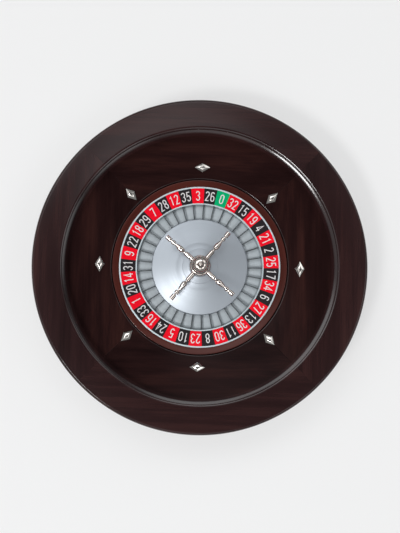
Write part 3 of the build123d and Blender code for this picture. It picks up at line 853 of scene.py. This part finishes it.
def strokes(digit):
    """Middle lines of a digit, one unit high and centred on x. The flag says that a line is closed."""
    w = digit_half
    if digit == 0:
        return [(bend(0, 0.76, w, 0.24, 0, 180) + bend(0, 0.24, w, 0.24, 180, 360), True)]
    if digit == 1:
        return [(straights((-0.11, 0.83), (0.03, 1.0), (0.03, 0.0)), False)]
    if digit == 2:
        return [(bend(0, 0.76, w, 0.24, 170, -15) + straights((-w, 0.0), (w * 1.05, 0.0)), False)]
    if digit == 3:
        return [(bend(0, 0.765, w, 0.235, 165, -80) + bend(0, 0.265, w * 1.05, 0.265, 80, -165), False)]
    if digit == 4:
        return [(straights((0.07, 0.0), (0.07, 1.0), (-w * 1.15, 0.27), (w * 1.2, 0.27)), False)]
    if digit == 5:
        return [(straights((w * 0.95, 1.0), (-w * 0.75, 1.0), (-w * 0.9, 0.53))
                 + bend(0, 0.30, w, 0.30, 125, -150), False)]
    if digit == 6:
        return [(bend(0, 0.76, w, 0.24, 20, 180) + bend(0, 0.25, w, 0.25, 180, 360)
                 + bend(0, 0.36, w, 0.22, 0, 165), False)]
    if digit == 7:
        return [(straights((-w, 1.0), (w, 1.0), (-0.06, 0.0)), False)]
    if digit == 8:
        return [(bend(0, 0.76, w * 0.92, 0.24, 0, 345), True), (bend(0, 0.27, w, 0.27, 0, 345), True)]
    if digit == 9:
        return [(list(reversed([Vector((-p.x, 1.0 - p.y)) for p in strokes(6)[0][0]])), False)]
    raise ValueError(digit)


def ribbon(line, closed, width):
    """Left and right borders of a stroke along a middle line."""
    left, right = [], []
    count = len(line)
    for k, point in enumerate(line):
        before = line[k - 1] if (k or closed) else None
        after = line[(k + 1) % count] if (k < count - 1 or closed) else None
        come = (point - before).normalized() if before is not None else None
        go = (after - point).normalized() if after is not None else None
        come = come or go
        go = go or come
        normal_in, normal_out = Vector((-come.y, come.x)), Vector((-go.y, go.x))
        middle = (normal_in + normal_out).normalized()
        reach = width / 2 / max(MITRE_LIMIT, middle.dot(normal_in))
        left.append(point + middle * reach)
        right.append(point - middle * reach)
    return left, right


def without_repeats(line):
    kept = [line[0]]
    for point in line[1:]:
        if (point - kept[-1]).length > 0.01:
            kept.append(point)
    return kept


def add_digit(bm, digit, bearing, aside):
    """One raised digit on the number band, with its top outwards."""
    middle = (band_inner_radius + band_outer_radius) / 2
    ahead, across = bearing_vector(bearing), bearing_vector(bearing + 90)

    def on_band(point, lift):
        spot = ahead * (middle + (point.y - digit_height / 2)) + across * (aside + point.x)
        return Vector((spot.x, spot.y, band_height(spot.length) + lift))

    for number, (line, closed) in enumerate(strokes(digit)):
        line = without_repeats([point * digit_height for point in line])
        left, right = ribbon(line, closed, stroke_width)
        top = print_thickness + number * print_step
        sides = [[bm.verts.new(on_band(p, lift)) for p in border]
                 for border, lift in ((left, top), (right, top), (right, -print_lift), (left, -print_lift))]
        count = len(line)
        spans = range(count) if closed else range(1, count)
        for k in spans:
            for one, two in zip(sides, sides[1:] + sides[:1]):
                bm.faces.new((one[k - 1], one[k], two[k], two[k - 1]))
        if not closed:
            bm.faces.new([side[0] for side in sides])
            bm.faces.new([side[-1] for side in sides])


def make_numbers(materials):
    bm = bmesh.new()
    for k, number in enumerate(number_order):
        digits = [int(c) for c in str(number)]
        for place, digit in enumerate(digits):
            aside = (place - (len(digits) - 1) / 2) * digit_pitch
            add_digit(bm, digit, zero_bearing + k * field_arc, aside)
    piece = finished("numbers", bm)
    piece.data.materials.append(materials["print_white"])
    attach(piece, "wheel_head")


# ---------------------------------------------------------------- turret
def make_turret(materials):
    flare_fall = (crown_height - flare_height) / (flare_radius - crown_radius)
    edge = crown_height - turret_base_overhang * flare_fall + turret_base_lift
    base = lathe("turret_plate", [
        (stud_radius, crown_height),
        (crown_radius, crown_height),
        (turret_base_radius, edge),
        (turret_base_radius, edge + turret_base_edge, metal_rounding),
        (turret_hub_radius + turret_base_collar, hub_bottom, turret_base_edge),
        (stud_radius, hub_bottom),
    ])
    lay_grain(base, circling())
    dress(base, materials, "cone_metal", "wheel_head", "turret_base")

    hub = lathe("turret_boss", [
        (stud_radius, hub_bottom),
        (turret_hub_radius - turret_hub_foot, hub_bottom, metal_rounding),
        (turret_hub_radius, hub_bottom + turret_hub_foot, metal_rounding),
        (turret_hub_radius, hub_top, turret_hub_rounding),
        (stud_radius, hub_top),
    ])
    dress(hub, materials, "turret_metal", "wheel_head", "turret_hub")

    for k in range(arm_count):
        make_arm(materials, k)

    dome_radius = finial_radius - finial_dome_step
    finial = lathe("turret_knob", [
        (0, hub_top),
        (finial_foot_radius, hub_top, metal_rounding),
        (finial_foot_radius, hub_top + finial_foot_height, metal_rounding),
        (finial_neck_radius, hub_top + finial_foot_height, finial_neck_rounding),
        (finial_neck_radius, finial_neck_top, finial_neck_rounding),
        (finial_radius, finial_neck_top, metal_rounding),
        (finial_radius, finial_bead_top, metal_rounding),
        (dome_radius, finial_bead_top),
        (dome_radius, finial_dome_top, finial_dome_rounding),
        (button_neck_radius, finial_dome_top),
        (button_neck_radius, finial_dome_top + button_neck_height),
        (button_radius, finial_dome_top + button_neck_height, button_rounding / 2),
        (button_radius, finial_top, button_rounding),
        (0, finial_top),
    ], steps=128)
    dress(finial, materials, "turret_metal", "wheel_head", "turret_finial")


def make_arm(materials, number):
    """Baluster handle, turned about its own length."""
    full, bulge, waist = arm_radius, arm_bulge_radius, arm_waist_radius
    rings = [("stem", full, full), ("notch", waist, waist), ("swell", waist, bulge),
             ("bulge", bulge, bulge), ("taper", bulge, waist), ("neck", waist, waist),
             ("bead", full, full), ("gap", waist, waist), ("knob", full, full)]
    reach = turret_hub_radius
    corners = [(0, reach - arm_seat_depth), (full, reach - arm_seat_depth)]
    for name, first, last in rings:
        if abs(corners[-1][0] - first) > 0.01:
            corners.append((first, reach, arm_rounding))
        reach += arm_lengths[name]
        corners.append((last, reach, arm_rounding))
    corners.append((0, reach))
    bearing = zero_bearing + arm_bearing + 360.0 * number / arm_count
    place = (Matrix.Translation((0, 0, arm_height))
             @ Matrix.Rotation(math.radians(90.0 - bearing), 4, "Z")
             @ Matrix.Rotation(math.radians(90.0), 4, "Y"))
    arm = lathe(f"arm_{number + 1}", corners, place=place, steps=48)
    dress(arm, materials, "turret_metal", "wheel_head", f"turret_arm_{number + 1}")


# ---------------------------------------------------------------- solids that show as they are
def dress_solids(materials):
    """Every solid gets the material of its slot, also where a piece stands for it."""
    for entry in frame["record"]["subparts"]:
        solid = frame["nodes"][entry["node"]]
        solid.data.materials.clear()
        solid.data.materials.append(materials[entry["material_slot"]])


# ---------------------------------------------------------------- floor and light
floor_reach = 12.0              # metres
floor_colour = (0.863, 0.863, 0.863)
floor_lift = 0.65               # share of the floor's own paleness that the camera sees
studio_tint = (0.97, 0.985, 1.0)
wall_level = 0.22
# Soft patches of light: bearing, angle from straight up, half angles where it starts and stops
# falling off, and how much it adds.
patches = [
    (262, 46, 10, 26, 0.55),
    (185, 42, 8, 20, 1.00),
    (312, 38, 8, 20, 2.75),
    (0, 38, 6, 18, 2.45),
    (48, 56, 8, 20, 1.15),
    (95, 44, 4, 16, 1.70),
    (138, 44, 4, 16, 1.80),
    (350, 14, 1, 10, 0.85),
]
ceiling_share = 0.30            # the darker ceiling over the wheel
ceiling_edge = (12.0, 26.0)     # degrees from straight up
key_bearing = 227
key_zenith = 35                 # degrees from straight up
key_distance = 6.0
key_size = (1.4, 1.0)
key_power = 155                 # watts


def make_floor():
    """Pale floor. Seen by the camera or in a reflection it is lifted towards its plain colour."""
    mesh = bpy.data.meshes.new("floor")
    r = floor_reach
    mesh.from_pydata([(-r, -r, 0), (r, -r, 0), (r, r, 0), (-r, r, 0)], [], [(0, 1, 2, 3)])
    floor = bpy.data.objects.new("floor", mesh)
    bpy.context.collection.objects.link(floor)
    m = Nodes("floor")
    m.set(Base_Color=(*floor_colour, 1.0), Roughness=0.9, Specular_IOR_Level=0.0)
    glow = m.add("ShaderNodeEmission", Color=(*floor_colour, 1.0))
    rays = m.add("ShaderNodeLightPath")
    seen = m.add("ShaderNodeMath", operation="MAXIMUM")
    m.link(rays.outputs["Is Camera Ray"], seen.inputs[0])
    m.link(rays.outputs["Is Glossy Ray"], seen.inputs[1])
    share = m.add("ShaderNodeMath", operation="MULTIPLY")
    m.link(seen.outputs["Value"], share.inputs[0])
    share.inputs[1].default_value = floor_lift
    blend = m.add("ShaderNodeMixShader")
    m.link(share.outputs["Value"], blend.inputs["Fac"])
    m.link(m.shader.outputs["BSDF"], blend.inputs[1])
    m.link(glow.outputs["Emission"], blend.inputs[2])
    m.link(blend.outputs["Shader"], m.tree.nodes["Material Output"].inputs["Surface"])
    mesh.materials.append(m.material)


def make_world():
    """Studio: dim walls, a darker ceiling, and soft patches of light round the wheel."""
    world = bpy.data.worlds.new("world")
    world.use_nodes = True
    tree = world.node_tree
    place = tree.nodes.new("ShaderNodeTexCoord")

    def eased(bearing, zenith, edge, near, far):
        """From near to far between two angles off a direction."""
        lean = math.radians(zenith)
        turn = tree.nodes.new("ShaderNodeVectorMath")
        turn.operation = "DOT_PRODUCT"
        turn.inputs[1].default_value = (
            bearing_vector(bearing, math.sin(lean)) + Vector((0, 0, math.cos(lean))))
        tree.links.new(place.outputs["Generated"], turn.inputs[0])
        node = tree.nodes.new("ShaderNodeMapRange")
        node.interpolation_type = "SMOOTHSTEP"
        node.inputs["From Min"].default_value = math.cos(math.radians(edge[1]))
        node.inputs["From Max"].default_value = math.cos(math.radians(edge[0]))
        node.inputs["To Min"].default_value = far
        node.inputs["To Max"].default_value = near
        tree.links.new(turn.outputs["Value"], node.inputs["Value"])
        return node.outputs["Result"]

    total = eased(0, 0, ceiling_edge, wall_level * ceiling_share, wall_level)
    for bearing, zenith, inner, outer, level in patches:
        plus = tree.nodes.new("ShaderNodeMath")
        tree.links.new(total, plus.inputs[0])
        tree.links.new(eased(bearing, zenith, (inner, outer), level, 0.0), plus.inputs[1])
        total = plus.outputs["Value"]
    background = tree.nodes["Background"]
    background.inputs["Color"].default_value = (*studio_tint, 1.0)
    tree.links.new(total, background.inputs["Strength"])
    bpy.context.scene.world = world


def make_key_light():
    """Rectangular lamp that faces the wheel."""
    data = bpy.data.lights.new("key", "AREA")
    data.shape = "RECTANGLE"
    data.size, data.size_y = key_size
    data.energy = key_power
    lamp = bpy.data.objects.new("key", data)
    bpy.context.collection.objects.link(lamp)
    tilt = math.radians(key_zenith)
    away = bearing_vector(key_bearing, math.sin(tilt)) + Vector((0, 0, math.cos(tilt)))
    lamp.location = away * key_distance
    lamp.rotation_euler = away.to_track_quat("Z", "Y").to_euler()


# ---------------------------------------------------------------- everything
make_camera()
palette = make_materials()
dress_solids(palette)
make_bowl(palette)
make_deflectors(palette)
make_rings(palette)
make_fields(palette)
make_frets(palette)
make_cone(palette)
make_numbers(palette)
make_turret(palette)
make_floor()
make_world()
make_key_light()
bpy.context.scene.view_settings.view_transform = "Standard"
